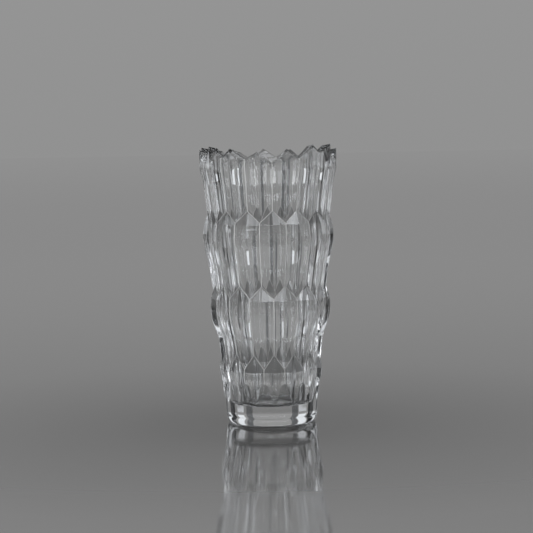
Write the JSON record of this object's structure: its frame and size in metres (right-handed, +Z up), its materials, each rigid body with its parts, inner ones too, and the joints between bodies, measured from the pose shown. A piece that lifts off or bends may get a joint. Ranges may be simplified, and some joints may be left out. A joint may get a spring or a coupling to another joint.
{
  "type": "cut crystal vase",
  "caption": "Tall tapered clear crystal vase with staggered rows of keeled facets, a saw-tooth rim and a round foot.",
  "frame": {"origin": "middle of the standing face under the foot", "axes": "+Z up along the vase's axis, from the foot to the rim; -Y is the front"},
  "size_m": [0.1295, 0.1296, 0.264],
  "materials": {
    "crystal": "clear polished lead crystal"
  },
  "bodies": {
    "root": {"vase": "crystal"}
  },
  "joints": []
}
